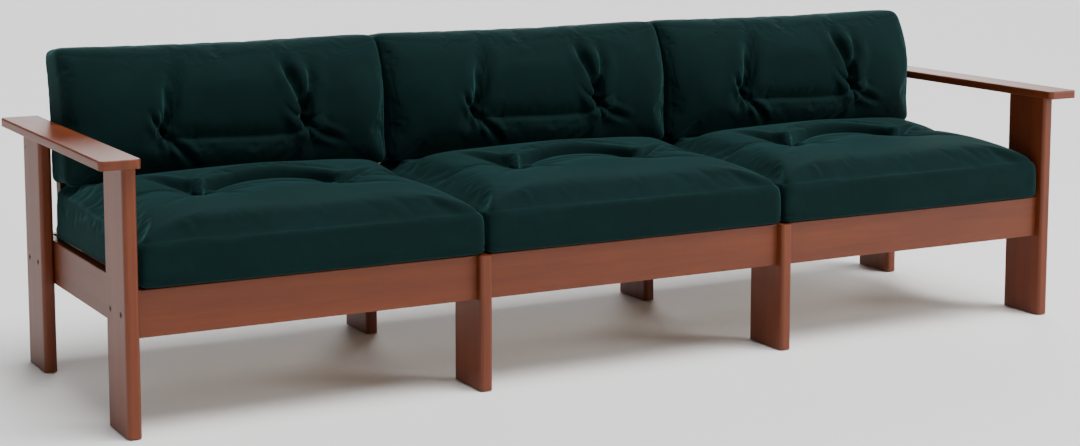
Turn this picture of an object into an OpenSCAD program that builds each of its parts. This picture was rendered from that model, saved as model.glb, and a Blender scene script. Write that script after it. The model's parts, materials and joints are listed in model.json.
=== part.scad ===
// Three-seat solid-wood futon sofa bed: a bolted plank frame, loose cushions,
// and a folding back behind each seat that lies down level with the slats.
// X runs along the length, the front faces -Y, and Z = 0 is the floor.

/* [Overall] */
// Distance between the same faces of neighbouring legs
module_pitch = 800; // [650:10:960]
// Frame depth, front face to rear face of the legs
frame_depth = 756; // [640:4:900]
// Height of the top face of the armrests
arm_top = 580; // [540:5:700]
// Height of the top edge of the seat rails
rail_top = 305; // [255:5:370]

/* [Legs] */
// Width of a leg plank, front to back
leg_w = 135; // [110:5:165]
// Thickness of a leg plank
leg_t = 30; // [25:1:36]
// Radius of the upright edges of a leg
leg_edge_r = 9; // [3:1:12]
// Height of the glides under the legs
glide_h = 2.5; // [1:0.5:5]
// Radius of a glide
glide_r = 10; // [8:1:12]

/* [Rails] */
// Height of the front, rear and side rails
rail_h = 100; // [80:5:120]
// Thickness of the front and rear rails
rail_t = 25; // [20:1:30]
// Thickness of the side rails
side_rail_t = 22; // [18:1:26]
// How far the rails stand back from the legs' faces
rail_setback = 20; // [10:1:26]
// Radius of the long edges of the rails
rail_edge_r = 3; // [1:0.5:5]

/* [Armrests] */
// Thickness of an armrest
arm_t = 20; // [16:1:26]
// How far an armrest hangs over outside the legs
arm_out = 54; // [30:2:70]
// How far an armrest stands in past the legs
arm_in = 4; // [0:1:8]
// How far an armrest runs out in front of the legs
arm_front = 28; // [10:2:40]
// How far an armrest stops short of the legs' rear face
arm_back_gap = 14; // [0:2:30]
// Radius of an armrest's corners, seen from above
arm_corner_r = 16; // [10:1:24]
// Radius of an armrest's long edges
arm_edge_r = 4; // [1:0.5:6]

/* [Seat slats] */
// Number of slats under each seat
slat_count = 7; // [5:1:9]
// Width of a slat
slat_w = 60; // [45:5:70]
// Thickness of a slat
slat_t = 18; // [14:1:22]
// Width and height of the cleats that the slats lie on
cleat = 24; // [20:1:28]

/* [Folding backs] */
// Lean of the upright back, in degrees
back_lean = 6; // [2:1:12]
// Distance of the pivot in front of the legs' rear face
pivot_inset = 91; // [80:1:120]
// Length of a back stile above the pivot
stile_len = 375; // [300:5:420]
// Width of a back stile
stile_w = 40; // [32:2:50]
// Thickness of a back stile
stile_t = 32; // [28:2:36]
// Height of the top rail of a back
top_rail_h = 50; // [40:5:70]
// Thickness of the slats of a back
back_slat_t = 14; // [10:1:18]
// Width of the slats of a back
back_slat_w = 50; // [40:5:60]

/* [Cushions] */
// Height of a seat cushion
seat_h = 136; // [110:2:160]
// Thickness of a back cushion
back_t = 164; // [120:4:180]
// Height of a back cushion
back_h = 300; // [250:10:340]
// Gap between neighbouring cushions
cushion_gap = 4; // [2:1:10]
// Radius of the long edges of a seat cushion
seat_r = 35; // [20:5:50]
// Radius of the long edges of a back cushion
back_r = 55; // [30:5:60]

/* [Hardware] */
// Shank radius of the frame bolts
bolt_r = 4; // [3:0.5:5]
// Radius of the hinge pins
pin_r = 5; // [4:0.5:6]
// Radial running clearance of a hinge pin in its stile
pin_clear = 0.08; // [0.02:0.02:0.1]
// Thickness of the steel hinge brackets
bracket_t = 4; // [3:0.5:5]
// Radius of the wooden dowels
dowel_r = 5; // [4:0.5:6]
// Distance of a leg's two bolts from its centre line
bolt_off = 35; // [28:1:38]

/* [Hidden] */
$fn = 48;
seats = 3;
hair = 0.15;          // clearance of bolts, dowels and screws in their holes
rest_gap = 1;         // cushions above the rails and slats
length = seats * module_pitch + leg_t;
left_x = -length / 2;                                 // outer face of the left legs
front_y = -(frame_depth - arm_front) / 2;             // front face of the legs
rear_y = front_y + frame_depth;                       // rear face of the legs
arm_z = arm_top - arm_t;                              // underside of the armrests
rail_z = rail_top - rail_h;
bolt_z = rail_z + rail_h / 2;
front_rail_y = front_y + rail_setback;
rear_rail_y = rear_y - rail_setback - rail_t;
deck_front = front_rail_y + rail_t;                   // inside the front rail
deck_rear = rear_rail_y;                              // inside the rear rail
front_leg_mid = front_y + leg_w / 2;
rear_leg_mid = rear_y - leg_w / 2;
bay = module_pitch - leg_t - 2 * side_rail_t;         // between two side rails

// Bolt lines: one bolt enters the rail's end, the other the side rail
front_end_bolt = front_rail_y + rail_t / 2;
rear_end_bolt = rear_rail_y + rail_t / 2;
front_side_bolt = front_leg_mid + bolt_off;
rear_side_bolt = rear_leg_mid - bolt_off;
side_bolts = [front_side_bolt, rear_side_bolt];
end_bolts = [front_end_bolt, rear_end_bolt];
sink_r = 6.5;         // counterbore in the end legs
sink_d = 6;
head_r = 6;
head_t = 5;
socket_r = 2.9;
nut_r = 7;
nut_t = 6;
barrel_r = 5;
barrel_depth = 35;    // barrel nut's axis from the rail's end
barrel_len = 18;
barrel_wall = 2;      // wood left past the barrel nut

// Backs
pivot_y = rear_y - pivot_inset;
flat_gap = 0.5;       // stile above the slats and the rear rail when flat
pivot_z = rail_top + stile_t / 2 + flat_gap;
washer_t = 1.6;
side_play = 0.2;      // beside a washer
clip_t = 2;
pin_head_t = 3;
pin_head_r = 8;
washer_r = 11;
bracket_r = 14;
bracket_edge = 17;    // plate beyond the pivot and before the bolt
bracket_h = 82;
stile_in = bracket_t + washer_t + 2 * side_play;      // from the side rail to the stile
lowest_slat = 75;     // centre of the lowest back slat above the pivot
back_slats = 3;
tenon = 12;
tenon_gap = 0.3;
back_rest_gap = 0.5;  // cushion in front of the back

// Cushions
cushion_span = length - 2 * leg_t - 2 * (arm_in + 2);
cushion_pitch = (cushion_span + cushion_gap) / seats;
cushion_w = cushion_pitch - cushion_gap;
cushion_x = left_x + leg_t + arm_in + 2;
seat_z = rail_top + rest_gap;
seat_front = front_y + 4;
seat_rear = pivot_y - stile_t / 2 - 9;
seat_clear = 5;       // back cushion above the seat cushion
back_u = (seat_z + seat_h + seat_clear - pivot_z) / cos(back_lean) - 6;

wood = [0.50, 0.28, 0.19];
beech = [0.78, 0.62, 0.44];
cloth = [0.08, 0.22, 0.22];
steel = [0.60, 0.61, 0.63];
black = [0.10, 0.10, 0.11];

// ---- places ----
function leg_x(i) = left_x + i * module_pitch;                 // left face of leg i, 0 to 3
function bay_x(s) = leg_x(s - 1) + leg_t + side_rail_t;        // inside of the left side rail
function cushion_left(s) = cushion_x + (s - 1) * cushion_pitch;

// ---- shapes ----
module rounded(w, h, r) {
    translate([r, 0]) square([w - 2 * r, h]);
    translate([0, r]) square([w, h - 2 * r]);
    for (x = [r, w - r], y = [r, h - r]) translate([x, y]) circle(r);
}

// Plank along X with its section in YZ, from its lowest corner
module plank_x(len, t, h, r) rotate([90, 0, 90]) linear_extrude(len) rounded(t, h, r);

// Plank along Y with its section in XZ, from its lowest corner
module plank_y(len, t, h, r) translate([0, len, 0]) rotate([90, 0, 0]) linear_extrude(len) rounded(t, h, r);

// Rod along +X from a point
module rod_x(x, y, z, r, len) translate([x, y, z]) rotate([0, 90, 0]) cylinder(r = r, h = len);

// Rod along +Y from a point
module rod_y(x, y, z, r, len) translate([x, y, z]) rotate([-90, 0, 0]) cylinder(r = r, h = len);

// Mirrors a child about the middle of bay s when right is true
module on_side(s, right) {
    mid = bay_x(s) + bay / 2;
    if (right) translate([2 * mid, 0, 0]) mirror([1, 0, 0]) children();
    else children();
}

// Both sides of every bay
module each_side() for (s = [1:seats], right = [false, true]) on_side(s, right) {
    $s = s;
    children();
}

// The back's own axes: its local Y runs up the back and its local Z out of its front
module on_back() translate([0, pivot_y, pivot_z]) rotate([90 - back_lean, 0, 0]) children();

// ---- legs ----
// Bolt holes of an end leg, sunk from its outer face
module end_leg_holes(y_end, y_side) {
    for (y = [y_end, y_side]) {
        rod_x(-1, y, bolt_z, bolt_r + hair, leg_t + 2);
        rod_x(-1, y, bolt_z, sink_r, sink_d + 1);
    }
}

module dowel_holes(y_mid) for (d = [-bolt_off, bolt_off])
    translate([leg_t / 2, y_mid + d, arm_z - dowel_leg]) cylinder(r = dowel_r + hair, h = dowel_leg + 1);

dowel_leg = 32;       // dowel length in the leg
dowel_arm = 12;       // dowel length in the armrest
stud_inset = 26;      // armrest stud from the leg's rear face
stud_drop = 50;       // its barrel nut below the armrest
stud_y = rear_y - stud_inset;

module end_leg(rear, right) {
    y0 = rear ? rear_y - leg_w : front_y;
    translate([right ? leg_x(seats) + leg_t : leg_x(0), 0, 0]) mirror([right ? 1 : 0, 0, 0])
        color(wood) difference() {
            translate([0, y0, glide_h]) linear_extrude(arm_z - glide_h) rounded(leg_t, leg_w, leg_edge_r);
            end_leg_holes(rear ? rear_end_bolt : front_end_bolt, rear ? rear_side_bolt : front_side_bolt);
            if (rear) {
                translate([leg_t / 2, stud_y, arm_z - stud_drop - barrel_r])
                    cylinder(r = bolt_r + hair, h = stud_drop + barrel_r + 1);
                rod_x(-1, stud_y, arm_z - stud_drop, barrel_r + hair, leg_t / 2 + bolt_r + 5);
                translate([leg_t / 2, rear_leg_mid - bolt_off, arm_z - dowel_leg])
                    cylinder(r = dowel_r + hair, h = dowel_leg + 1);
            } else dowel_holes(front_leg_mid);
        }
}

module mid_leg(i, rear) {
    y0 = rear ? rear_y - leg_w : front_y;
    y_end = rear ? rear_end_bolt : front_end_bolt;
    y_side = rear ? rear_side_bolt : front_side_bolt;
    color(wood) difference() {
        translate([leg_x(i), y0, glide_h]) linear_extrude(rail_top - glide_h)
            rounded(leg_t, leg_w, leg_edge_r);
        rod_x(leg_x(i) - 1, y_side, bolt_z, bolt_r + hair, leg_t + 2);
        for (z = dowel_zs) rod_x(leg_x(i) - 1, y_end, z, dowel_r + hair, leg_t + 2);
    }
}

module leg_glides() color(black)
    for (i = [0:seats], y = [front_leg_mid, rear_leg_mid], d = [-bolt_off, bolt_off])
        translate([leg_x(i) + leg_t / 2, y + d, 0]) cylinder(r = glide_r, h = glide_h);

// ---- rails ----
dowel_zs = [bolt_z - rail_h / 4, bolt_z + rail_h / 4];
dowel_rail = 30;      // dowel length in a rail's end

module end_rail(s, rear) {
    x0 = leg_x(s - 1) + leg_t;
    len = module_pitch - leg_t;
    y0 = rear ? rear_rail_y : front_rail_y;
    y_mid = y0 + rail_t / 2;
    color(wood) difference() {
        translate([x0, y0, rail_z]) plank_x(len, rail_t, rail_h, rail_edge_r);
        // a bolt and barrel nut at an end leg, two dowels at a middle leg
        if (s == 1) rail_end_bolt_holes(x0, 1, y_mid, rear);
        else for (z = dowel_zs) rod_x(x0 - 1, y_mid, z, dowel_r + hair, dowel_rail + 1);
        if (s == seats) rail_end_bolt_holes(x0 + len, -1, y_mid, rear);
        else for (z = dowel_zs) rod_x(x0 + len - dowel_rail, y_mid, z, dowel_r + hair, dowel_rail + 1);
    }
}

// Bolt hole and barrel hole at a rail's end; dir points into the rail
module rail_end_bolt_holes(x, dir, y_mid, rear) {
    len = barrel_depth + barrel_r + 10;
    rod_x(dir > 0 ? x - 1 : x - len, y_mid, bolt_z, bolt_r + hair, len + 1);
    rod_y(x + dir * barrel_depth, rear ? y_mid - rail_t / 2 - 1 : y_mid - rail_t / 2 + barrel_wall,
        bolt_z, barrel_r + hair, rail_t + 1 - barrel_wall);
}

module side_rail(s, right) on_side(s, right) color(wood) difference() {
    translate([bay_x(s) - side_rail_t, deck_front, rail_z])
        plank_y(deck_rear - deck_front, side_rail_t, rail_h, rail_edge_r);
    for (y = side_bolts) rod_x(bay_x(s) - side_rail_t - 1, y, bolt_z, bolt_r + hair, side_rail_t + 2);
    for (z = hinge_screw_zs) rod_x(bay_x(s) - hinge_screw_len - 1, hinge_screw_y, z,
        screw_r + hair, hinge_screw_len + 2);
}

module rail_dowels() color(beech)
    for (i = [1:seats - 1], y = end_bolts, z = dowel_zs)
        rod_x(leg_x(i) - dowel_rail + 1, y, z, dowel_r, leg_t + 2 * dowel_rail - 2);

// ---- armrests ----
arm_len = frame_depth + arm_front - arm_back_gap;
arm_w = leg_t + arm_out + arm_in;

// Left armrest from its outer front corner
module soft_plank() intersection() {
    linear_extrude(arm_t) rounded(arm_w, arm_len, arm_corner_r);
    plank_y(arm_len, arm_w, arm_t, arm_edge_r);
    plank_x(arm_w, arm_len, arm_t, arm_edge_r);
}

module armrest(right) translate([right ? leg_x(seats) + leg_t : leg_x(0), 0, 0])
    mirror([right ? 1 : 0, 0, 0]) color(wood) difference() {
        translate([-arm_out, front_y - arm_front, arm_z]) soft_plank();
        for (y = arm_dowels) translate([leg_t / 2, y, arm_z - 1])
            cylinder(r = dowel_r + hair, h = dowel_arm + 1);
        translate([leg_t / 2, stud_y, arm_z - 1]) cylinder(r = bolt_r + hair, h = dowel_arm + 1);
    }

arm_dowels = [front_leg_mid - bolt_off, front_leg_mid + bolt_off, rear_leg_mid - bolt_off];

module armrest_dowels() color(beech)
    for (i = [0, seats], y = arm_dowels) translate([leg_x(i) + leg_t / 2, y, arm_z - dowel_leg + 1])
        cylinder(r = dowel_r, h = dowel_leg + dowel_arm - 2);

module armrest_studs() color(steel)
    for (i = [0, seats]) translate([leg_x(i) + leg_t / 2, stud_y, arm_z - stud_drop + barrel_r + 0.1])
        cylinder(r = bolt_r, h = stud_drop - barrel_r + dowel_arm - 1);

// ---- seat deck ----
slat_gap = (bay - slat_count * slat_w) / (slat_count + 1);
slat_end_gap = 1;
cleat_z = rail_top - slat_t - cleat;
screw_r = 2;
screw_head_r = 4;
screw_head_t = 2.5;   // countersunk head
screw_cap = 1.5;      // pan head

function slat_mid(s, n) = bay_x(s) + slat_gap + slat_w / 2 + n * (slat_gap + slat_w);
slat_screw_ys = [deck_front + cleat / 2, deck_rear - cleat / 2];

module slat_screw(hole) {
    extra = hole ? hair : 0;
    depth = slat_t + cleat * 0.6 + (hole ? 1 : 0);
    translate([0, 0, -depth]) cylinder(r = screw_r + extra, h = depth);
    translate([0, 0, -screw_head_t])
        cylinder(r1 = screw_r + extra, r2 = screw_head_r + extra, h = screw_head_t + (hole ? 0.01 : 0));
}

module seat_slats(s) color(beech) for (n = [0:slat_count - 1]) difference() {
    translate([slat_mid(s, n) - slat_w / 2, deck_front + slat_end_gap, rail_top - slat_t])
        plank_y(deck_rear - deck_front - 2 * slat_end_gap, slat_w, slat_t, 3);
    for (y = slat_screw_ys) translate([slat_mid(s, n), y, rail_top]) slat_screw(true);
}

module slat_screws() color(steel)
    for (s = [1:seats], n = [0:slat_count - 1], y = slat_screw_ys)
        translate([slat_mid(s, n), y, rail_top - 0.1]) slat_screw(false);

// Cleat screws stand in the gaps between the slats
cleat_screw_ns = [0, floor(slat_count / 2), slat_count - 2];
function gap_mid(s, n) = slat_mid(s, n) + (slat_w + slat_gap) / 2;

module slat_cleats(rear) color(beech) for (s = [1:seats]) difference() {
    translate([bay_x(s) + 1, rear ? deck_rear - cleat : deck_front, cleat_z])
        plank_x(bay - 2, cleat, cleat, 1.5);
    for (n = [0:slat_count - 1])
        translate([slat_mid(s, n), slat_screw_ys[rear ? 1 : 0], rail_top]) slat_screw(true);
    for (n = cleat_screw_ns) rod_y(gap_mid(s, n), rear ? deck_rear - cleat - 1 : deck_front - 1,
        cleat_z + cleat / 2, screw_r + hair, cleat + 2);
}

module cleat_screws() color(steel) for (s = [1:seats], n = cleat_screw_ns) {
    z = cleat_z + cleat / 2;
    rod_y(gap_mid(s, n), deck_front, z, screw_r, cleat);
    rod_y(gap_mid(s, n), deck_front + cleat, z, screw_head_r, screw_cap);
    rod_y(gap_mid(s, n), deck_rear - cleat, z, screw_r, cleat);
    rod_y(gap_mid(s, n), deck_rear - cleat - screw_cap, z, screw_head_r, screw_cap);
}

// ---- bolts ----
// Socket-headed bolt along +X, its head's outer face at x = 0
module bolt_x(len) difference() {
    union() {
        rod_x(0, 0, 0, head_r, head_t);
        rod_x(head_t, 0, 0, bolt_r, len - head_t);
    }
    rotate([0, 90, 0]) translate([0, 0, -1]) cylinder(r = socket_r, h = head_t * 0.6 + 1, $fn = 6);
}

module each_end() for (i = [0, seats]) translate([i == 0 ? leg_x(0) : leg_x(seats) + leg_t, 0, 0])
    mirror([i == 0 ? 0 : 1, 0, 0]) children();

module rail_bolts() color(black) each_end() for (y = end_bolts)
    translate([sink_d - head_t, y, bolt_z]) bolt_x(leg_t - sink_d + head_t + barrel_depth - barrel_r - 0.1);

module barrel_nuts() color(black) each_end() {
    rod_y(leg_t + barrel_depth, front_rail_y + rail_t - barrel_len, bolt_z, barrel_r, barrel_len);
    rod_y(leg_t + barrel_depth, rear_rail_y, bolt_z, barrel_r, barrel_len);
    rod_x(0.5, stud_y, arm_z - stud_drop, barrel_r, leg_t / 2 + bolt_r + 2);
}

// Side rail bolts: sunk in the end legs, and right through a middle leg and both its side rails
function plate_at(y) = y == rear_side_bolt ? bracket_t : 0;

module side_rail_bolts() color(black) {
    each_end() for (y = side_bolts) translate([sink_d - head_t, y, bolt_z])
        bolt_x(leg_t - sink_d + head_t + side_rail_t + plate_at(y) + nut_t + 2);
    for (i = [1:seats - 1], y = side_bolts)
        translate([leg_x(i) - side_rail_t - plate_at(y) - head_t, y, bolt_z])
            bolt_x(head_t + leg_t + 2 * side_rail_t + 2 * plate_at(y) + nut_t + 2);
}

module nut_x() difference() {
    rotate([0, 90, 0]) cylinder(r = nut_r, h = nut_t, $fn = 6);
    rod_x(-1, 0, 0, bolt_r + hair / 2, nut_t + 2);
}

module side_rail_nuts() color(steel) {
    each_end() for (y = side_bolts) translate([leg_t + side_rail_t + plate_at(y), y, bolt_z]) nut_x();
    for (i = [1:seats - 1], y = side_bolts)
        translate([leg_x(i) + leg_t + side_rail_t + plate_at(y), y, bolt_z]) nut_x();
}

// ---- hinges ----
bracket_y = min(rear_side_bolt, pivot_y) - bracket_edge;
bracket_w = pivot_y + bracket_edge - bracket_y;
bracket_z = pivot_z - bracket_h;
hinge_screw_y = bracket_y + bracket_w - 6;
hinge_screw_zs = [bolt_z, bolt_z + 25];
hinge_screw_len = 14; // screw length in the side rail

module hinge_brackets() each_side() color(steel) difference() {
    union() {
        translate([bay_x($s), bracket_y, bracket_z]) cube([bracket_t, bracket_w, bracket_h - bracket_r]);
        translate([bay_x($s), pivot_y - bracket_r, pivot_z - 2 * bracket_r])
            cube([bracket_t, 2 * bracket_r, 2 * bracket_r]);
        rod_x(bay_x($s), pivot_y, pivot_z, bracket_r, bracket_t);
    }
    rod_x(bay_x($s) - 1, pivot_y, pivot_z, pin_r + hair / 2, bracket_t + 2);
    rod_x(bay_x($s) - 1, rear_side_bolt, bolt_z, bolt_r + hair, bracket_t + 2);
    for (z = hinge_screw_zs) rod_x(bay_x($s) - 1, hinge_screw_y, z, screw_r + hair, bracket_t + 2);
}

module hinge_screws() each_side() color(steel) for (z = hinge_screw_zs) {
    rod_x(bay_x($s) - hinge_screw_len, hinge_screw_y, z, screw_r, hinge_screw_len + bracket_t);
    rod_x(bay_x($s) + bracket_t, hinge_screw_y, z, screw_head_r, screw_cap);
}

module hinge_pins() each_side() color(steel) {
    rod_x(bay_x($s) - pin_head_t, pivot_y, pivot_z, pin_head_r, pin_head_t);
    rod_x(bay_x($s), pivot_y, pivot_z, pin_r, stile_in + stile_w + side_play + clip_t + 2);
}

module hinge_washers() each_side() color("white") difference() {
    rod_x(bay_x($s) + bracket_t + side_play / 2, pivot_y, pivot_z, washer_r, washer_t);
    rod_x(bay_x($s), pivot_y, pivot_z, pin_r + hair / 2, 20);
}

module pin_clips() each_side() color(black) difference() {
    rod_x(bay_x($s) + stile_in + stile_w + side_play, pivot_y, pivot_z, pin_head_r + 1, clip_t);
    rod_x(bay_x($s) + stile_in, pivot_y, pivot_z, pin_r + hair / 2, stile_w + 20);
}

// ---- folding backs ----
// Side view of a stile: a bar with a round end about the pivot
module stile_outline() {
    translate([0, -stile_t / 2]) square([stile_len, stile_t]);
    circle(stile_t / 2);
}

module back_stile(s, right) on_side(s, right) color(wood) on_back() difference() {
    translate([bay_x(s) + stile_in, 0, 0]) rotate([90, 0, 90]) linear_extrude(stile_w) stile_outline();
    rod_x(bay_x(s), 0, 0, pin_r + pin_clear, stile_in + stile_w + 1);
    for (n = [0:back_slats - 1]) translate([bay_x(s) + inner_x - tenon - tenon_gap,
        slat_u(n) - back_slat_w / 2 - hair, stile_t / 2 - back_slat_t - hair])
            cube([tenon + 5, back_slat_w + 2 * hair, back_slat_t + 5]);
    translate([bay_x(s) + inner_x - tenon - tenon_gap,
        stile_len - top_rail_h + tenon_shoulder - hair, -tenon_t / 2 - hair])
            cube([tenon + 5, top_rail_h - 2 * tenon_shoulder + 2 * hair, tenon_t + 2 * hair]);
}

tenon_t = 12;
tenon_shoulder = 8;
inner_x = stile_in + stile_w;                         // from the bay's side to the stile's inner face
inner_w = bay - 2 * inner_x;
slat_step = (stile_len - top_rail_h + back_slat_w / 2 - lowest_slat) / back_slats;
function slat_u(n) = lowest_slat + n * slat_step;    // centre of back slat n above the pivot

module back_top_rail(s) color(wood) on_back() {
    translate([bay_x(s) + inner_x, stile_len - top_rail_h, -stile_t / 2])
        cube([inner_w, top_rail_h, stile_t]);
    translate([bay_x(s) + inner_x - tenon, stile_len - top_rail_h + tenon_shoulder, -tenon_t / 2])
        cube([inner_w + 2 * tenon, top_rail_h - 2 * tenon_shoulder, tenon_t]);
}

module back_slats(s) color(wood) on_back() for (n = [0:back_slats - 1])
    translate([bay_x(s) + inner_x - tenon, slat_u(n) - back_slat_w / 2, stile_t / 2 - back_slat_t])
        cube([inner_w + 2 * tenon, back_slat_w, back_slat_t]);

// ---- cushions ----
module seat_cushion(s) color(cloth) translate([cushion_left(s), seat_front, seat_z])
    plank_x(cushion_w, seat_rear - seat_front, seat_h, seat_r);

module back_cushion(s) color(cloth) on_back()
    translate([cushion_left(s), back_u, stile_t / 2 + back_rest_gap])
        plank_x(cushion_w, back_h, back_t, back_r);

end_leg(false, false);  // leg_front_left
end_leg(true, false);  // leg_rear_left
end_leg(false, true);  // leg_front_right
end_leg(true, true);  // leg_rear_right
mid_leg(1, false);  // mid_leg_front_1
mid_leg(2, false);  // mid_leg_front_2
mid_leg(1, true);  // mid_leg_rear_1
mid_leg(2, true);  // mid_leg_rear_2
armrest(false);  // armrest_left
armrest(true);  // armrest_right
end_rail(1, false);  // front_rail_1
end_rail(2, false);  // front_rail_2
end_rail(3, false);  // front_rail_3
end_rail(1, true);  // rear_rail_1
end_rail(2, true);  // rear_rail_2
end_rail(3, true);  // rear_rail_3
side_rail(1, false);  // side_rail_1_left
side_rail(1, true);  // side_rail_1_right
side_rail(2, false);  // side_rail_2_left
side_rail(2, true);  // side_rail_2_right
side_rail(3, false);  // side_rail_3_left
side_rail(3, true);  // side_rail_3_right
seat_slats(1);  // seat_slats_1
seat_slats(2);  // seat_slats_2
seat_slats(3);  // seat_slats_3
slat_cleats(false);  // slat_cleats_front
slat_cleats(true);  // slat_cleats_rear
slat_screws();
cleat_screws();
rail_bolts();
barrel_nuts();
side_rail_bolts();
side_rail_nuts();
rail_dowels();
armrest_dowels();
armrest_studs();
leg_glides();
hinge_brackets();
hinge_screws();
hinge_pins();
hinge_washers();
pin_clips();
seat_cushion(1);  // seat_cushion_1
seat_cushion(2);  // seat_cushion_2
seat_cushion(3);  // seat_cushion_3
back_stile(1, false);  // back_stile_1_left
back_stile(1, true);  // back_stile_1_right
back_stile(2, false);  // back_stile_2_left
back_stile(2, true);  // back_stile_2_right
back_stile(3, false);  // back_stile_3_left
back_stile(3, true);  // back_stile_3_right
back_top_rail(1);  // back_top_rail_1
back_top_rail(2);  // back_top_rail_2
back_top_rail(3);  // back_top_rail_3
back_slats(1);  // back_slats_1
back_slats(2);  // back_slats_2
back_slats(3);  // back_slats_3
back_cushion(1);  // back_cushion_1
back_cushion(2);  // back_cushion_2
back_cushion(3);  // back_cushion_3
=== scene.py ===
import json
import math

import bpy
import numpy as np
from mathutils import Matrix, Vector


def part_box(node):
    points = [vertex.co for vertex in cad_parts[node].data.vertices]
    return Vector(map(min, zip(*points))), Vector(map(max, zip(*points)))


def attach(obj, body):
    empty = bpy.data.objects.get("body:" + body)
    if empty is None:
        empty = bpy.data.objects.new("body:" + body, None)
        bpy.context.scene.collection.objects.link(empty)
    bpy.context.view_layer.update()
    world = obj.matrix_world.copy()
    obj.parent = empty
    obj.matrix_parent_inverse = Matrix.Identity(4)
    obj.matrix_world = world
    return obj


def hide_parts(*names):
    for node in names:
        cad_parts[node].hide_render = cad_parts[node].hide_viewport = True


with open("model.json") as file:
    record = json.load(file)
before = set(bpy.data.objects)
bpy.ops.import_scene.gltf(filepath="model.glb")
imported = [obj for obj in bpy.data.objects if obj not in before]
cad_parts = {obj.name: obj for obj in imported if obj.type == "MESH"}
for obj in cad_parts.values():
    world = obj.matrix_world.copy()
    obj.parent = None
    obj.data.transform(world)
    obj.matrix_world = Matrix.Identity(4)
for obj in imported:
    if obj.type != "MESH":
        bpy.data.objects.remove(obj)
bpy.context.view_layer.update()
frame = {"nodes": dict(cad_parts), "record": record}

nodes = frame["nodes"]
scene = bpy.context.scene

cameraView = {
    "place": (-2.4566, -4.3918, 1.2005),
    "yaw": 28.518,  # degrees to the right of straight at the back
    "pitch": 7.361,  # degrees down
    "lens": 70.03,
    "sensor": 36,
    "shiftY": -0.10,
    "farthest": 60,
}
bpy.ops.object.select_all(action="DESELECT")
bpy.ops.object.camera_add(
    location=cameraView["place"],
    rotation=(math.radians(90 - cameraView["pitch"]), 0, math.radians(-cameraView["yaw"])),
)
camera = bpy.context.object
camera.name = "studioCamera"
camera.data.lens = cameraView["lens"]
camera.data.sensor_width = cameraView["sensor"]
camera.data.shift_y = cameraView["shiftY"]
camera.data.clip_end = cameraView["farthest"]
scene.camera = camera
print("camera placed")


def deselectAll():
    if bpy.context.object and bpy.context.object.mode != "OBJECT":
        bpy.ops.object.mode_set(mode="OBJECT")
    bpy.ops.object.select_all(action="DESELECT")


def pick(piece):
    deselectAll()
    piece.select_set(True)
    bpy.context.view_layer.objects.active = piece


def applyModifier(piece, name):
    pick(piece)
    bpy.ops.object.modifier_apply(modifier=name)


def getPoints(mesh):
    points = np.empty(len(mesh.vertices) * 3)
    mesh.vertices.foreach_get("co", points)
    return points.reshape(-1, 3)


def setPoints(mesh, points):
    mesh.vertices.foreach_set("co", np.ascontiguousarray(points, dtype=float).ravel())
    mesh.update()


def getNormals(mesh):
    normals = np.empty(len(mesh.vertices) * 3)
    mesh.vertices.foreach_get("normal", normals)
    return normals.reshape(-1, 3)


def smoothStep(low, high, value):
    share = np.clip((value - low) / (high - low), 0, 1)
    return share * share * (3 - 2 * share)


def hill(value, middle, spread):
    return np.exp(-(((value - middle) / spread) ** 2))


# eases a value towards its limits instead of cutting it off there
def softLimit(values, low, high, ease):
    over = values - (high - ease)
    values = np.where(over > 0, high - ease + ease * np.tanh(over / ease), values)
    under = (low + ease) - values
    return np.where(under > 0, low + ease - ease * np.tanh(under / ease), values)


# materials, all worked out in an object's own coordinates
def newMaterial(name, colour, roughness):
    material = bpy.data.materials.new(name)
    material.use_nodes = True
    shader = material.node_tree.nodes["Principled BSDF"]
    shader.inputs["Base Color"].default_value = (*colour, 1)
    shader.inputs["Roughness"].default_value = roughness
    return material, shader


def addNode(material, kind):
    return material.node_tree.nodes.new(kind)


def link(material, output, socket):
    material.node_tree.links.new(output, socket)


def addMapping(material, scale):
    coordinates = addNode(material, "ShaderNodeTexCoord")
    mapping = addNode(material, "ShaderNodeMapping")
    mapping.inputs["Scale"].default_value = scale
    link(material, coordinates.outputs["Object"], mapping.inputs["Vector"])
    return mapping.outputs["Vector"]


def addNoise(material, vector, scale, detail=4, roughness=0.5, distortion=0):
    noise = addNode(material, "ShaderNodeTexNoise")
    noise.inputs["Scale"].default_value = scale
    noise.inputs["Detail"].default_value = detail
    noise.inputs["Roughness"].default_value = roughness
    noise.inputs["Distortion"].default_value = distortion
    link(material, vector, noise.inputs["Vector"])
    return noise.outputs["Fac"]


def addRamp(material, value, stops):
    ramp = addNode(material, "ShaderNodeValToRGB")
    while len(ramp.color_ramp.elements) < len(stops):
        ramp.color_ramp.elements.new(0.5)
    for element, (place, colour) in zip(ramp.color_ramp.elements, stops):
        element.position = place
        element.color = (*colour, 1)
    link(material, value, ramp.inputs["Fac"])
    return ramp.outputs["Color"]


# a ramp through three shades of one look
def addShades(material, value, places, shades):
    return addRamp(material, value, list(zip(places, shades)))


def addMix(material, share, first, second):
    mix = addNode(material, "ShaderNodeMix")
    mix.data_type = "RGBA"
    if isinstance(share, (int, float)):
        mix.inputs["Factor"].default_value = share
    else:
        link(material, share, mix.inputs["Factor"])
    for socket, value in ((mix.inputs[6], first), (mix.inputs[7], second)):
        if isinstance(value, tuple):
            socket.default_value = (*value, 1)
        else:
            link(material, value, socket)
    return mix.outputs[2]


def addRange(material, value, low, high):
    span = addNode(material, "ShaderNodeMapRange")
    span.inputs["To Min"].default_value = low
    span.inputs["To Max"].default_value = high
    link(material, value, span.inputs["Value"])
    return span.outputs["Result"]


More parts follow.
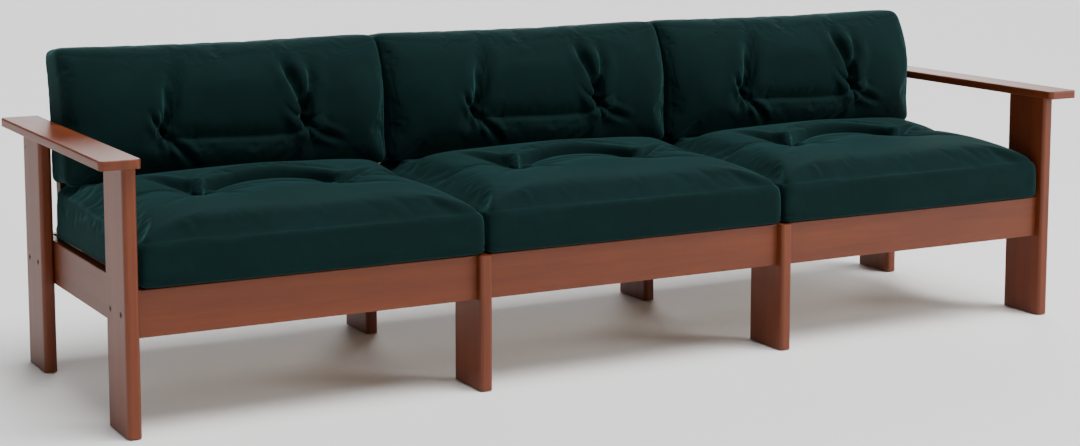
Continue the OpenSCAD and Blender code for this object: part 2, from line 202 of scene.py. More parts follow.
def addBump(material, shader, height, strength, distance, below=None):
    bump = addNode(material, "ShaderNodeBump")
    bump.inputs["Strength"].default_value = strength
    bump.inputs["Distance"].default_value = distance
    link(material, height, bump.inputs["Height"])
    if below is not None:
        link(material, below, bump.inputs["Normal"])
    link(material, bump.outputs["Normal"], shader.inputs["Normal"])
    return bump.outputs["Normal"]


stainedWood = {
    "shades": [(0.092, 0.0160, 0.0030), (0.150, 0.0295, 0.0052), (0.200, 0.0450, 0.0092)],
    "blotch": (0.110, 0.0200, 0.0036),
    "roughness": (0.42, 0.55),
    "coat": 0.06,
}
paleWood = {
    "shades": [(0.44, 0.27, 0.14), (0.58, 0.39, 0.22), (0.68, 0.49, 0.30)],
    "blotch": (0.50, 0.32, 0.17),
    "roughness": (0.48, 0.60),
    "coat": 0.05,
}
woodGrain = {
    "alongScale": 0.055,  # the grain is drawn out this much along the board
    "ringScale": 9,
    "ringDistortion": 7,
    "ringShare": 0.22,
    "fineShare": 0.36,
    "poreShare": 0.45,
    "specular": 0.38,
    "coatRoughness": 0.32,
}


# wood with its grain along one axis: 0 is X, 1 is Y, 2 is Z
def woodMaterial(name, look, along):
    dark, middle = look["shades"][:2]
    material, shader = newMaterial(name, middle, look["roughness"][0])
    scale = [1, 1, 1]
    scale[along] = woodGrain["alongScale"]
    vector = addMapping(material, scale)
    broad = addNoise(material, vector, 16, detail=3, roughness=0.5, distortion=0.9)
    fine = addNoise(material, vector, 150, detail=6, roughness=0.62, distortion=0.25)
    pores = addNoise(material, vector, 620, detail=3, roughness=0.6)
    rings = addNode(material, "ShaderNodeTexWave")
    rings.wave_type = "BANDS"
    rings.bands_direction = "Y" if along == 0 else "X"
    rings.inputs["Scale"].default_value = woodGrain["ringScale"]
    rings.inputs["Distortion"].default_value = woodGrain["ringDistortion"]
    rings.inputs["Detail"].default_value = 3
    rings.inputs["Detail Scale"].default_value = 1.4
    link(material, vector, rings.inputs["Vector"])
    colour = addShades(material, broad, (0.28, 0.50, 0.74), look["shades"])
    ringColour = addShades(material, rings.outputs["Fac"], (0, 0.5, 1), look["shades"])
    colour = addMix(material, woodGrain["ringShare"], colour, ringColour)
    fineColour = addShades(material, fine, (0.30, 0.52, 0.72), look["shades"])
    colour = addMix(material, woodGrain["fineShare"], colour, fineColour)
    blotches = addNoise(material, addMapping(material, (1, 1, 1)), 3.2, detail=2)
    colour = addMix(material, addRange(material, blotches, -0.25, 0.55), colour, look["blotch"])
    poreMask = addRamp(material, pores, [(0.60, (0, 0, 0)), (0.72, (1, 1, 1))])
    colour = addMix(material, poreMask, colour, addMix(material, woodGrain["poreShare"], colour, dark))
    link(material, colour, shader.inputs["Base Color"])
    link(material, addRange(material, fine, *look["roughness"]), shader.inputs["Roughness"])
    shader.inputs["Specular IOR Level"].default_value = woodGrain["specular"]
    shader.inputs["Coat Weight"].default_value = look["coat"]
    shader.inputs["Coat Roughness"].default_value = woodGrain["coatRoughness"]
    first = addBump(material, shader, fine, 0.16, 0.0006)
    addBump(material, shader, pores, 0.10, 0.0004, below=first)
    return material


velvetLook = {
    "shades": [(0.0014, 0.0080, 0.0078), (0.0022, 0.0118, 0.0114), (0.0034, 0.0172, 0.0166)],
    "roughness": 0.95,
    "specular": 0.10,
    "sheen": 0.30,
    "sheenRoughness": 0.40,
    "sheenTint": (0.12, 0.40, 0.40),
    "brushScale": (1, 2.2, 1.4),
    "mottleShare": 0.38,
    "pileShare": 0.30,
}


def velvetMaterial(look):
    material, shader = newMaterial("tealVelvet", look["shades"][1], look["roughness"])
    vector = addMapping(material, (1, 1, 1))
    brushVector = addMapping(material, look["brushScale"])
    brushed = addNoise(material, brushVector, 5.5, detail=4, roughness=0.55, distortion=0.8)
    mottle = addNoise(material, vector, 42, detail=4, roughness=0.6)
    pile = addNoise(material, vector, 1150, detail=2, roughness=0.7)
    colour = addShades(material, brushed, (0.30, 0.52, 0.76), look["shades"])
    mottleColour = addShades(material, mottle, (0.28, 0.50, 0.74), look["shades"])
    colour = addMix(material, look["mottleShare"], colour, mottleColour)
    pileColour = addShades(material, pile, (0.34, 0.52, 0.68), look["shades"])
    colour = addMix(material, look["pileShare"], colour, pileColour)
    link(material, colour, shader.inputs["Base Color"])
    shader.inputs["Specular IOR Level"].default_value = look["specular"]
    shader.inputs["Sheen Weight"].default_value = look["sheen"]
    shader.inputs["Sheen Roughness"].default_value = look["sheenRoughness"]
    shader.inputs["Sheen Tint"].default_value = (*look["sheenTint"], 1)
    first = addBump(material, shader, mottle, 0.10, 0.0025)
    addBump(material, shader, pile, 0.28, 0.0007, below=first)
    return material


def steelMaterial(name, colour, metallic, roughness, streak):
    material, shader = newMaterial(name, colour, roughness)
    brushed = addNoise(material, addMapping(material, streak), 420, detail=4, roughness=0.6)
    clouds = addNoise(material, addMapping(material, (1, 1, 1)), 60, detail=3)
    darker = tuple(channel * 0.72 for channel in colour)
    lighter = tuple(min(1, channel * 1.18) for channel in colour)
    tone = addRamp(material, clouds, [(0.30, darker), (0.70, lighter)])
    link(material, tone, shader.inputs["Base Color"])
    worn = addRange(material, brushed, roughness - 0.07, roughness + 0.12)
    link(material, worn, shader.inputs["Roughness"])
    shader.inputs["Metallic"].default_value = metallic
    addBump(material, shader, brushed, 0.12, 0.0003)
    return material


def plasticMaterial(name, colour, roughness):
    material, shader = newMaterial(name, colour, roughness)
    vector = addMapping(material, (1, 1, 1))
    grain = addNoise(material, vector, 900, detail=3)
    darker = tuple(channel * 0.8 for channel in colour)
    tone = addRamp(material, addNoise(material, vector, 80), [(0.35, darker), (0.65, colour)])
    link(material, tone, shader.inputs["Base Color"])
    worn = addRange(material, grain, roughness - 0.06, roughness + 0.08)
    link(material, worn, shader.inputs["Roughness"])
    addBump(material, shader, grain, 0.18, 0.0003)
    return material


stained = [woodMaterial("stainedWood" + axis, stainedWood, i) for i, axis in enumerate("XYZ")]
pale = [woodMaterial("paleWood" + axis, paleWood, i) for i, axis in enumerate("XYZ")]
velvet = velvetMaterial(velvetLook)
boltSteel = steelMaterial("blackBoltSteel", (0.035, 0.034, 0.036), 0.9, 0.42, (1, 1, 1))
zincSteel = steelMaterial("zincSteel", (0.60, 0.61, 0.63), 1.0, 0.34, (1, 1, 4))
bracketPaint = steelMaterial("bracketPaint", (0.042, 0.042, 0.046), 0.15, 0.48, (1, 1, 1))
washerNylon = plasticMaterial("washerNylon", (0.045, 0.045, 0.045), 0.45)
glidePlastic = plasticMaterial("glidePlastic", (0.05, 0.045, 0.04), 0.5)
print("materials made")

# fasteners and fittings keep their own meshes and get a finish
fittings = {
    "rail_bolts": boltSteel,
    "side_rail_bolts": boltSteel,
    "barrel_nuts": boltSteel,
    "pin_clips": boltSteel,
    "hinge_screws": boltSteel,
    "hinge_pins": boltSteel,
    "armrest_studs": zincSteel,
    "side_rail_nuts": zincSteel,
    "slat_screws": zincSteel,
    "cleat_screws": zincSteel,
    "hinge_brackets": bracketPaint,
    "hinge_washers": washerNylon,
    "leg_glides": glidePlastic,
    "rail_dowels": pale[0],
    "armrest_dowels": pale[2],
}
for name, material in fittings.items():
    for holder in nodes[name].material_slots:
        holder.material = material
    if not nodes[name].material_slots:
        nodes[name].data.materials.append(material)
print("fittings finished:", len(fittings))

# boards are the frame's own planks with eased edges
boardEdge = {
    "angle": 40,  # edges sharper than this are eased, in degrees
    "segments": 3,
    "merge": 0.00002,
    "flat": 0.6,  # facets within this angle become one face
    "smooth": 35,
    "leg": 0.0022,
    "stile": 0.0020,
    "backBoard": 0.0015,
    "plank": 0.0010,
    "slat": 0.0008,
}


def makeBoard(nodeName, material, slotName, bodyName, width):
    source = nodes[nodeName]
    board = bpy.data.objects.new(nodeName + "_board", source.data.copy())
    scene.collection.objects.link(board)
    board.data.materials.clear()
    board.data.materials.append(material)
    pick(board)
    bpy.ops.object.mode_set(mode="EDIT")
    bpy.ops.mesh.select_all(action="SELECT")
    bpy.ops.mesh.remove_doubles(threshold=boardEdge["merge"])
    bpy.ops.mesh.dissolve_degenerate(threshold=boardEdge["merge"])
    bpy.ops.mesh.dissolve_limited(angle_limit=math.radians(boardEdge["flat"]))
    bpy.ops.mesh.normals_make_consistent(inside=False)
    bpy.ops.object.mode_set(mode="OBJECT")
    eased = board.modifiers.new("easedEdge", "BEVEL")
    eased.width = width
    eased.segments = boardEdge["segments"]
    eased.limit_method = "ANGLE"
    eased.angle_limit = math.radians(boardEdge["angle"])
    eased.harden_normals = False
    applyModifier(board, "easedEdge")
    bpy.ops.object.shade_smooth_by_angle(angle=math.radians(boardEdge["smooth"]))
    faceNormals = board.modifiers.new("faceNormals", "WEIGHTED_NORMAL")
    faceNormals.keep_sharp = True
    applyModifier(board, "faceNormals")
    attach(board, bodyName)
    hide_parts(nodeName)


# what a node's name says of its board: material, slot, body and edge
def boardKind(name):
    if "leg_" in name and name != "leg_glides":
        return stained[2], "stained_wood", "frame", boardEdge["leg"]
    if name in ("armrest_left", "armrest_right"):
        return stained[1], "stained_wood", "frame", boardEdge["plank"]
    if name.startswith(("front_rail", "rear_rail")):
        return stained[0], "stained_wood", "frame", boardEdge["plank"]
    if name.startswith("side_rail_") and name.endswith(("left", "right")):
        return stained[1], "stained_wood", "frame", boardEdge["plank"]
    if name.startswith("seat_slats"):
        return pale[1], "beech", "frame", boardEdge["slat"]
    if name.startswith("slat_cleats"):
        return pale[0], "beech", "frame", boardEdge["slat"]
    if name.startswith("back_stile"):
        return stained[2], "stained_wood", "back_" + name.split("_")[2], boardEdge["stile"]
    if name.startswith(("back_top_rail", "back_slats")):
        return stained[0], "stained_wood", "back_" + name.split("_")[-1], boardEdge["backBoard"]
    return None


boardNames = [name for name in nodes if boardKind(name)]
for name in boardNames:
    makeBoard(name, *boardKind(name))
print("boards made:", len(boardNames))


# cushions start as a rounded box, are filled as cloth, and then get their tufts and creases
def smoothPath(points, steps=10):
    points = [np.array(point, float) for point in points]
    padded = [2 * points[0] - points[1]] + points + [2 * points[-1] - points[-2]]
    curve = []
    for i in range(1, len(padded) - 2):
        before, start, end, after = padded[i - 1 : i + 3]
        for step in range(steps):
            t = step / steps
            first = (end - before) * t
            second = (2 * before - 5 * start + 4 * end - after) * t * t
            third = (3 * start - before - 3 * end + after) * t**3
            curve.append(0.5 * (2 * start + first + second + third))
    curve.append(points[-1])
    return np.array(curve)


# distance to a path, share of the way along it, and which side of it
def alongPath(a, b, path):
    best = np.full(len(a), 9.0)
    share = np.zeros(len(a))
    side = np.ones(len(a))
    lengths = np.linalg.norm(np.diff(path, axis=0), axis=1)
    total = lengths.sum()
    walked = 0.0
    for start, end, length in zip(path[:-1], path[1:], lengths):
        step = (end - start) / max(length, 1e-9)
        da = a - start[0]
        db = b - start[1]
        t = np.clip(da * step[0] + db * step[1], 0, length)
        away = np.hypot(da - t * step[0], db - t * step[1])
        nearer = away < best
        best = np.where(nearer, away, best)
        share = np.where(nearer, (walked + t) / total, share)
        side = np.where(nearer, np.sign(step[0] * db - step[1] * da), side)
        walked += length
    return best, share, side


# A crease runs from a tuft through the points. It has a ridge beside it, on both sides or on one.
# Coarse creases shape the cloth before it is filled, fine ones after it.
def crease(
    tuft, points, depth, width, ridge, stages, fall,
    rise=0, offset=None, spread=None, side=0, tied=0,
):
    return {
        "path": smoothPath([tuft] + points),
        "depth": depth,
        "width": width,
        "ridge": ridge,
        "stages": stages,
        "fall": fall,  # share of its length over which it ends
        "rise": rise,  # share over which it begins, none if it is full at the tuft
        "offset": offset or 2.2 * width,
        "spread": spread or 1.3 * width,
        "side": side,
        "tied": tied,  # how firmly it is held while the cloth is filled
    }


coarse = ("coarse",)
fineOnly = ("fine",)
both = ("coarse", "fine")


# height of the cloth's surface due to tufts, creases and swells
def reliefOf(a, b, look, stage):
    relief = np.zeros(len(a))
    for tuft in look["tufts"]:
        away = np.hypot(a - tuft[0], b - tuft[1])
        for depth, width in look["tuftShape"][stage]:
            relief -= depth / (1 + (away / width) ** 2)
    for line in look["creases"]:
        if stage not in line["stages"]:
            continue
        away, share, side = alongPath(a, b, line["path"])
        fade = 1 - smoothStep(1 - line["fall"], 1.001, share)
        if line["rise"]:
            fade *= smoothStep(-0.001, line["rise"], share)
        relief -= line["depth"] * fade * np.exp(-away / line["width"])
        weight = 1.0 if line["side"] == 0 else (side * line["side"] > 0)
        relief += line["ridge"] * fade * weight * hill(away, line["offset"], line["spread"])
    if stage == "coarse":
        for middleA, middleB, spreadA, spreadB, height in look["swells"]:
            relief += height * hill(a, middleA, spreadA) * hill(b, middleB, spreadB)
    return relief


def roundedBox(points, half, radii):
    scaled = points * half
    radius = (radii[0] + (radii[1] - radii[0]) * smoothStep(0.1, 0.95, points[:, 2]))[:, None]
    inner = np.clip(scaled, -(half - radius), half - radius)
    outward = scaled - inner
    length = np.linalg.norm(outward, axis=1, keepdims=True)
    rounded = length[:, 0] >= 1e-9
    outward[rounded] *= (radius / np.maximum(length, 1e-9))[rounded]
    return inner + outward


def cubePiece(name, cuts):
    deselectAll()
    bpy.ops.mesh.primitive_cube_add(size=2, location=(0, 0, 0))
    piece = bpy.context.object
    piece.name = name
    bpy.ops.object.mode_set(mode="EDIT")
    bpy.ops.mesh.select_all(action="SELECT")
    bpy.ops.mesh.subdivide(number_cuts=cuts)
    bpy.ops.object.mode_set(mode="OBJECT")
    return piece


def remesh(piece, voxel):
    modifier = piece.modifiers.new("evenMesh", "REMESH")
    modifier.mode = "VOXEL"
    modifier.voxel_size = voxel
    applyModifier(piece, "evenMesh")


filling = {
    "quality": 5,
    "mass": 0.3,
    "shear": 0.5,  # share of the stretch stiffness
    "pressure": 4,
    "frames": 20,
    "tuftHold": (0.006, 0.016),  # held whole within the first distance, free beyond the second
    "creaseHold": (0.004, 0.010),
    "sideKeep": 0.85,  # share of a side's inward move that is taken back
}


# how firmly each point is held: at the tufts, at some creases and on the side it rests on
def holdOf(points, look):
    near, far = filling["tuftHold"]
    hold = 1 - smoothStep(near, far, points[:, 2] - look["bottom"])
    for tuft in look["tufts"]:
        away = np.hypot(points[:, 0] - tuft[0], points[:, 1] - tuft[1])
        hold = np.maximum(hold, 1 - smoothStep(near, far, away))
    near, far = filling["creaseHold"]
    for line in look["creases"]:
        if line["tied"]:
            away = alongPath(points[:, 0], points[:, 1], line["path"])[0]
            top = points[:, 2] > look["middle"]
            hold = np.maximum(hold, top * line["tied"] * (1 - smoothStep(near, far, away)))
    return hold


def fill(piece, look):
    before = getPoints(piece.data)
    normals = getNormals(piece.data).copy()
    held = piece.vertex_groups.new(name="held")
    hold = holdOf(before, look)
    for i in np.nonzero(hold > 0.02)[0]:
        held.add([int(i)], float(hold[i]), "REPLACE")
    cloth = piece.modifiers.new("filling", "CLOTH")
    cloth.settings.quality = filling["quality"]
    cloth.settings.mass = filling["mass"]
    cloth.settings.tension_stiffness = look["stretch"]
    cloth.settings.compression_stiffness = look["stretch"]
    cloth.settings.shear_stiffness = look["stretch"] * filling["shear"]
    cloth.settings.bending_stiffness = look["bending"]
    cloth.settings.use_pressure = True
    cloth.settings.uniform_pressure_force = filling["pressure"]
    cloth.settings.shrink_min = look["slack"]
    cloth.settings.vertex_group_mass = "held"
    cloth.settings.effector_weights.gravity = 0
    cloth.point_cache.frame_start = 1
    cloth.point_cache.frame_end = filling["frames"]
    for number in range(1, filling["frames"] + 1):
        scene.frame_set(number)
    applyModifier(piece, "filling")
    scene.frame_set(1)
    piece.vertex_groups.clear()
    moved = getPoints(piece.data) - before
    inward = np.minimum((moved * normals).sum(axis=1), 0)
    upright = 1 - smoothStep(0.3, 0.7, np.abs(normals[:, 2]))
    moved -= normals * (inward * upright * filling["sideKeep"])[:, None]
    length = np.linalg.norm(moved, axis=1, keepdims=True)
    print("  greatest move %.1f mm" % (length.max() * 1000))
    length = np.maximum(length, 1e-9)
    below, beside, above = look["caps"]
    facing = normals[:, 2]
    cap = beside + (above - beside) * smoothStep(0.3, 0.95, facing)
    cap += (below - beside) * smoothStep(0.3, 0.95, -facing)
    cap = cap[:, None]
    setPoints(piece.data, before + moved / length * cap * np.tanh(length / cap))


def refine(piece):
    modifier = piece.modifiers.new("finer", "SUBSURF")
    modifier.levels = 1
    modifier.render_levels = 1
    applyModifier(piece, "finer")


# the base box of a cushion, and each point's place across and along it, from -1 to 1
def cushionBox(points, look):
    lowCorner = np.array([-look["halfWidth"], look["low"], look["bottom"]])
    highCorner = np.array([look["halfWidth"], look["high"], look["top"]])
    half = (highCorner - lowCorner) / 2
    centre = (highCorner + lowCorner) / 2
    shaped = roundedBox(points, half, look["radii"])
    across = shaped[:, 0] / half[0]
    along = shaped[:, 1] / half[1]
    lifted = smoothStep(-0.2, 1.0, shaped[:, 2] / half[2])
    return shaped, centre, across, along, lifted


seatTufts = [(-0.160, -0.050), (0.170, -0.062)]
seatArch = [(-0.112, -0.006), (-0.040, 0.034), (0.040, 0.050), (0.110, 0.040), (0.155, 0.000), seatTufts[1]]
seatCushion = {
    "cuts": 62,
    "voxel": 0.0068,
    "gap": 0.0018,  # base shape inside its space, each side
    "radii": (0.009, 0.025),  # lower and upper edges
    "low": -0.358,  # front
    "high": 0.272,  # rear
    "bottom": 0.3065,
    "top": 0.425,
    "middle": 0.37,
    "crown": 0.014,
    "frontFall": 0.014,
    "frontBow": 0.004,
    "rearRise": 0.011,
    "pull": 0.003,
    "stretch": 24,
    "bending": 1.2,
    "slack": -0.005,
    "caps": (0.003, 0.008, 0.020),  # greatest swelling below, at the sides and above
    "seamHeight": 0.017,
    "seamDepth": 0.0016,
    "roof": (0.293, 0.4352, 0.0547),  # under the back cushion: a place, the height there and the slope
    "tufts": seatTufts,
    "tuftShape": {"coarse": [(0.012, 0.030)], "fine": [(-0.003, 0.012), (0.002, 0.004)]},
    "creases": [
        # the arched fold between the tufts, with a roll behind it
        crease(
            seatTufts[0],
            seatArch, 0.013, 0.010, 0.015, coarse, 0.08, 0.06, 0.028, 0.022, 1, tied=0.6,
        ),
        crease(seatTufts[0], seatArch, 0.0130, 0.0060, 0.0100, fineOnly, 0.10, 0.03, 0.017, 0.011, 1),
        # shorter ones out from the left tuft
        crease(
            seatTufts[0], [(-0.180, -0.005), (-0.215, 0.045), (-0.262, 0.085)],
            0.009, 0.008, 0.006, both, 0.6, offset=0.020, spread=0.014, side=-1,
        ),
        crease(
            seatTufts[0],
            [(-0.138, -0.090), (-0.112, -0.130), (-0.095, -0.185)], 0.007, 0.008, 0.003, both, 0.9,
        ),
        crease(seatTufts[0], [(-0.190, -0.072), (-0.225, -0.088)], 0.004, 0.006, 0.002, fineOnly, 0.9),
        # and from the right one
        crease(
            seatTufts[1],
            [(0.205, -0.040), (0.245, -0.012), (0.290, 0.008)], 0.007, 0.007, 0.004, both, 0.8,
        ),
        crease(seatTufts[1], [(0.186, -0.085), (0.196, -0.118)], 0.006, 0.006, 0.003, both, 0.9),
        crease(seatTufts[1], [(0.150, -0.098), (0.142, -0.140)], 0.004, 0.006, 0.002, fineOnly, 0.9),
    ],
    "swells": [
        (0.01, -0.09, 0.13, 0.10, 0.009),
        (-0.28, -0.12, 0.10, 0.16, 0.005),
        (0.28, -0.12, 0.10, 0.16, 0.006),
        (0.01, 0.10, 0.20, 0.045, 0.006),
    ],
}


def shapeSeat(points, look):
    shaped, centre, across, along, lifted = cushionBox(points, look)
    shaped[:, 2] += look["crown"] * lifted * (1 - np.abs(across) ** 5) * (1 - np.abs(along) ** 4)
    shaped[:, 2] -= look["frontFall"] * lifted * smoothStep(0.05, 1.05, -along)
    shaped[:, 2] += look["rearRise"] * lifted * smoothStep(-0.2, 0.55, along)
    drawnIn = look["pull"] / look["halfWidth"] * (1 - along**2)
    shaped[:, 0] *= 1 - drawnIn * smoothStep(0.75, 1, np.abs(across))
    shaped[:, 1] -= look["frontBow"] * (1 - across**2) * smoothStep(0.6, 1, -along)
    shaped += centre
    shaped[:, 2] += lifted**2 * reliefOf(shaped[:, 0], shaped[:, 1], look, "coarse")
    return shaped


def finishSeat(points, normals, look):
    upward = smoothStep(0.25, 0.8, normals[:, 2]) * (points[:, 2] > look["middle"])
    relief = reliefOf(points[:, 0], points[:, 1], look, "fine")
    points = points + normals * (relief * upward)[:, None]
    outward = np.hypot(normals[:, 0], normals[:, 1])
    seam = hill(points[:, 2], look["bottom"] + look["seamHeight"], 0.0035) * smoothStep(0.6, 0.9, outward)
    points -= normals * (look["seamDepth"] * seam)[:, None]
    points[:, 0] = softLimit(points[:, 0], -look["limit"], look["limit"], 0.006)
    points[:, 1] = softLimit(points[:, 1], look["low"] - 0.004, look["high"] + 0.004, 0.006)
    points[:, 2] = np.maximum(points[:, 2], look["bottom"] - 0.0004)
    # pressed down where the back cushion stands on it
    place, height, slope = look["roof"]
    roof = height + (place - points[:, 1]) * slope
    pressed = smoothStep(0.11, 0.145, points[:, 1])
    over = np.maximum(points[:, 2] - (roof - 0.003), 0)
    points[:, 2] -= pressed * (over - 0.003 * np.tanh(over / 0.003))
    return points


backTufts = [(-0.169, 0.208), (0.175, 0.215)]
backLevel = [
    (-0.132, 0.199), (-0.048, 0.197), (0.044, 0.193), (0.125, 0.194),
    (0.163, 0.198), (0.186, 0.180), (0.196, 0.150), (0.198, 0.117),
]
leftRise = [(-0.160, 0.262), (-0.150, 0.315), (-0.128, 0.358), (-0.104, 0.385)]
rightRise = [(0.164, 0.258), (0.150, 0.305), (0.135, 0.343), (0.121, 0.380)]
rightBranch = [(0.180, 0.262), (0.190, 0.315), (0.194, 0.366)]
backCushion = {
    "cuts": 62,
    "voxel": 0.0060,
    "gap": 0.0012,
    "radii": (0.013, 0.022),  # edges at the back frame and in front
    "low": 0.1185,  # measured up the back from the pivot
    "high": 0.4140,
    "bottom": 0.0185,  # measured out of the back
    "top": 0.1680,
    "middle": 0.09,
    "crown": 0.024,
    "upperFall": 0.050,
    "lowerFall": 0.016,
    "topBow": 0.005,
    "bottomReach": 0.008,
    "pull": 0.003,
    "stretch": 22,
    "bending": 1.0,
    "slack": -0.010,
    "caps": (0.002, 0.006, 0.020),
    "seamDepth": 0.0013,
    "thickest": 0.196,
    "thinnest": 0.0166,
    "tufts": backTufts,
    "tuftShape": {"coarse": [(0.022, 0.028)], "fine": [(-0.010, 0.013), (0.003, 0.004)]},
    "creases": [
        # the level fold between the tufts, with a roll below it
        crease(
            backTufts[0],
            backLevel, 0.010, 0.010, 0.009, coarse, 0.22, 0.12, 0.026, 0.020, -1, tied=0.4,
        ),
        crease(backTufts[0], backLevel, 0.006, 0.005, 0.0025, fineOnly, 0.3, 0.12, 0.012, 0.008, -1),
        # up from the left tuft
        crease(backTufts[0], leftRise, 0.027, 0.017, 0.007, coarse, 0.45, 0, 0.038, 0.022, tied=0.45),
        crease(
            backTufts[0],
            [(-0.162, 0.260), (-0.157, 0.305), (-0.154, 0.345)], 0.008, 0.008, 0.004, fineOnly, 0.8,
        ),
        crease(
            backTufts[0],
            [(-0.146, 0.255), (-0.132, 0.310), (-0.112, 0.362)], 0.007, 0.008, 0.003, fineOnly, 0.8,
        ),
        crease(backTufts[0], [(-0.192, 0.240), (-0.212, 0.278)], 0.009, 0.006, 0.004, both, 0.7),
        crease(backTufts[0], [(-0.178, 0.248), (-0.186, 0.290)], 0.006, 0.004, 0.003, fineOnly, 0.8),
        # down from it
        crease(
            backTufts[0],
            [(-0.130, 0.172), (-0.098, 0.142), (-0.078, 0.118)], 0.010, 0.007, 0.004, both, 0.7,
        ),
        crease(backTufts[0], [(-0.158, 0.172), (-0.146, 0.138)], 0.007, 0.005, 0.003, fineOnly, 0.8),
        crease(backTufts[0], [(-0.186, 0.176), (-0.196, 0.148)], 0.005, 0.005, 0.002, fineOnly, 0.8),
        # up from the right tuft
        crease(backTufts[1], rightRise, 0.014, 0.012, 0.006, both, 0.35, 0, 0.026, 0.016, tied=0.3),
        crease(backTufts[1], rightBranch, 0.012, 0.011, 0.005, both, 0.5, 0, 0.024, 0.014, tied=0.3),
        crease(backTufts[1], [(0.138, 0.242), (0.104, 0.281)], 0.008, 0.006, 0.004, both, 0.7),
        crease(backTufts[1], [(0.206, 0.236), (0.228, 0.262)], 0.006, 0.005, 0.003, fineOnly, 0.8),
        # down from it
        crease(
            backTufts[1],
            [(0.206, 0.196), (0.244, 0.177), (0.290, 0.157)], 0.010, 0.007, 0.005, both, 0.7,
        ),
        crease(backTufts[1], [(0.180, 0.186), (0.172, 0.158)], 0.005, 0.005, 0.002, fineOnly, 0.8),
    ],
    "swells": [
        (0.0, 0.280, 0.11, 0.065, 0.012),
        (-0.29, 0.26, 0.08, 0.11, 0.012),
        (0.30, 0.26, 0.08, 0.11, 0.012),
        (0.02, 0.158, 0.15, 0.028, 0.009),
    ],
}


def shapeBack(points, look):
    shaped, centre, across, along, outward = cushionBox(points, look)
    shaped[:, 2] += look["crown"] * outward * (1 - np.abs(across) ** 3) * (1 - np.abs(along) ** 2.4)
    upper = look["upperFall"] * np.maximum(along, 0) ** 2
    lower = look["lowerFall"] * np.maximum(-along, 0) ** 1.5
    shaped[:, 2] -= outward * (upper + lower)
    drawnIn = look["pull"] / look["halfWidth"] * (1 - along**2)
    shaped[:, 0] *= 1 - drawnIn * smoothStep(0.7, 1, np.abs(across))
    shaped[:, 1] -= look["topBow"] * (1 - across**2) * smoothStep(0.7, 1, along)
    nearSide = smoothStep(0.80, 0.95, np.abs(across))
    shaped[:, 1] -= look["bottomReach"] * (outward + nearSide) * smoothStep(0.5, 1.0, -along)
    shaped += centre
    shaped[:, 2] += outward**2 * reliefOf(shaped[:, 0], shaped[:, 1], look, "coarse")
    return shaped


def finishBack(points, normals, look):
    front = points[:, 2] > look["middle"]
    outward = smoothStep(0.3, 0.85, normals[:, 2]) * front
    relief = reliefOf(points[:, 0], points[:, 1], look, "fine")
    edgeward = np.maximum(np.abs(normals[:, 0]), np.abs(normals[:, 1]))
    seam = hill(normals[:, 2], edgeward, 0.10) * front
    points = points + normals * (relief * outward - look["seamDepth"] * seam)[:, None]
    points[:, 0] = softLimit(points[:, 0], -look["limit"], look["limit"], 0.006)
    # it stands on the seat cushion, and reaches into the dip between two seats
    lowest = 0.1138 - 0.048 * (points[:, 2] - 0.02)
    lowest -= 0.004 * smoothStep(0.86, 0.97, np.abs(points[:, 0]) / look["halfWidth"])
    points[:, 1] = softLimit(points[:, 1], lowest, look["high"] + 0.004, 0.003)
    points[:, 2] = np.maximum(points[:, 2], look["thinnest"])
    points[:, 2] = softLimit(points[:, 2], -1, look["thickest"], 0.01)
    return points


def makeCushion(name, look, shape, finish):
    first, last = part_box(name + "_1")
    width = last.x - first.x
    look["halfWidth"] = width / 2 - look["gap"]
    look["limit"] = width / 2 + 0.0015
    piece = cubePiece(name + "_base", look["cuts"])
    setPoints(piece.data, shape(getPoints(piece.data), look))
    remesh(piece, look["voxel"])
    fill(piece, look)
    refine(piece)
    setPoints(piece.data, finish(getPoints(piece.data), getNormals(piece.data), look))
    print("  ", name, len(piece.data.vertices), "points")
    return piece


def placeCushions(base, name, turn, bodies):
    local = getPoints(base.data)
    for number, bodyName in enumerate(bodies, 1):
        nodeName = f"{name}_{number}"
        first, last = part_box(nodeName)
        points = turn(local)
        points[:, 0] += (first.x + last.x) / 2
        cushion = bpy.data.objects.new(nodeName + "_cover", base.data.copy())
        scene.collection.objects.link(cushion)
        setPoints(cushion.data, points)
        cushion.data.materials.clear()
        cushion.data.materials.append(velvet)
        pick(cushion)
        bpy.ops.object.shade_smooth()
        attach(cushion, bodyName)
        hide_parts(nodeName)
    deselectAll()
    bpy.data.objects.remove(base)


# a back cushion's own axes stand on the hinge line, leaning back
joints = frame["record"]["behaviour"]["joints"]
pivot = Vector(next(joint for joint in joints if joint["name"] == "back_1_fold")["pos_m"])
lean = math.radians(6)


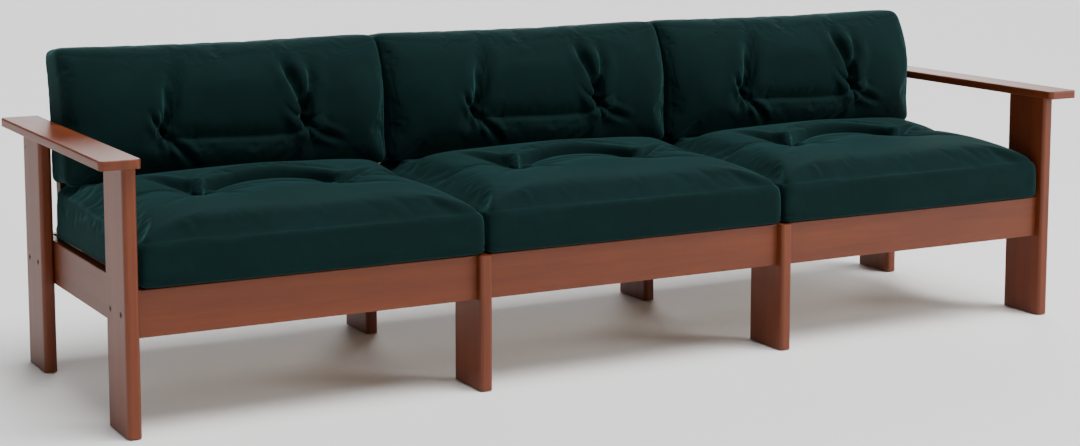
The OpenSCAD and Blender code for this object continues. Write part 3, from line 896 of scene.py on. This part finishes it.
def standUp(local):
    placed = np.empty_like(local)
    placed[:, 0] = local[:, 0]
    placed[:, 1] = pivot[1] + local[:, 1] * math.sin(lean) - local[:, 2] * math.cos(lean)
    placed[:, 2] = pivot[2] + local[:, 1] * math.cos(lean) + local[:, 2] * math.sin(lean)
    return placed


seatBase = makeCushion("seat_cushion", seatCushion, shapeSeat, finishSeat)
placeCushions(seatBase, "seat_cushion", np.copy, ["frame"] * 3)
backBase = makeCushion("back_cushion", backCushion, shapeBack, finishBack)
placeCushions(backBase, "back_cushion", standUp, [f"cushion_back_{number}" for number in (1, 2, 3)])
print("cushions made")

studio = {
    "floorSize": 120,
    "floorColour": (0.90, 0.90, 0.895),
    "floorRoughness": 0.9,
    "world": (0.96, 0.98, 1.0),
    "worldStrength": 0.15,
}
# name, kind, place, aim, size in degrees or metres, and power
lamps = [
    ("keyLight", "SUN", (1.3, -1.95, 6.2), (0, 0, 0), 45, 4.3),
    ("rightLight", "AREA", (3.9, -3.6, 2.2), (0.9, 0, 0.4), 2.0, 120),
    ("fillLight", "SUN", (-3.5, -2.0, 5.0), (0, 0, 0), 60, 0.2),
    ("rearLight", "SUN", (2.7, 5.0, 2.0), (0, 0, 0), 30, 1.6),
]
deselectAll()
bpy.ops.mesh.primitive_plane_add(size=studio["floorSize"], location=(0, 0, 0))
floor = bpy.context.object
floor.name = "studioFloor"
floorMaterial, floorShader = newMaterial("studioFloor", studio["floorColour"], studio["floorRoughness"])
floor.data.materials.append(floorMaterial)

world = bpy.data.worlds.new("studioWorld")
world.use_nodes = True
world.node_tree.nodes["Background"].inputs["Color"].default_value = (*studio["world"], 1)
world.node_tree.nodes["Background"].inputs["Strength"].default_value = studio["worldStrength"]
scene.world = world

for name, kind, place, aim, size, power in lamps:
    bpy.ops.object.light_add(type=kind, location=place)
    light = bpy.context.object
    light.name = name
    if kind == "SUN":
        light.data.angle = math.radians(size)
    else:
        light.data.size = size
    light.data.energy = power
    light.visible_camera = False
    towards = Vector(aim) - Vector(place)
    light.rotation_euler = towards.to_track_quat("-Z", "Y").to_euler()
print("floor and lights placed")
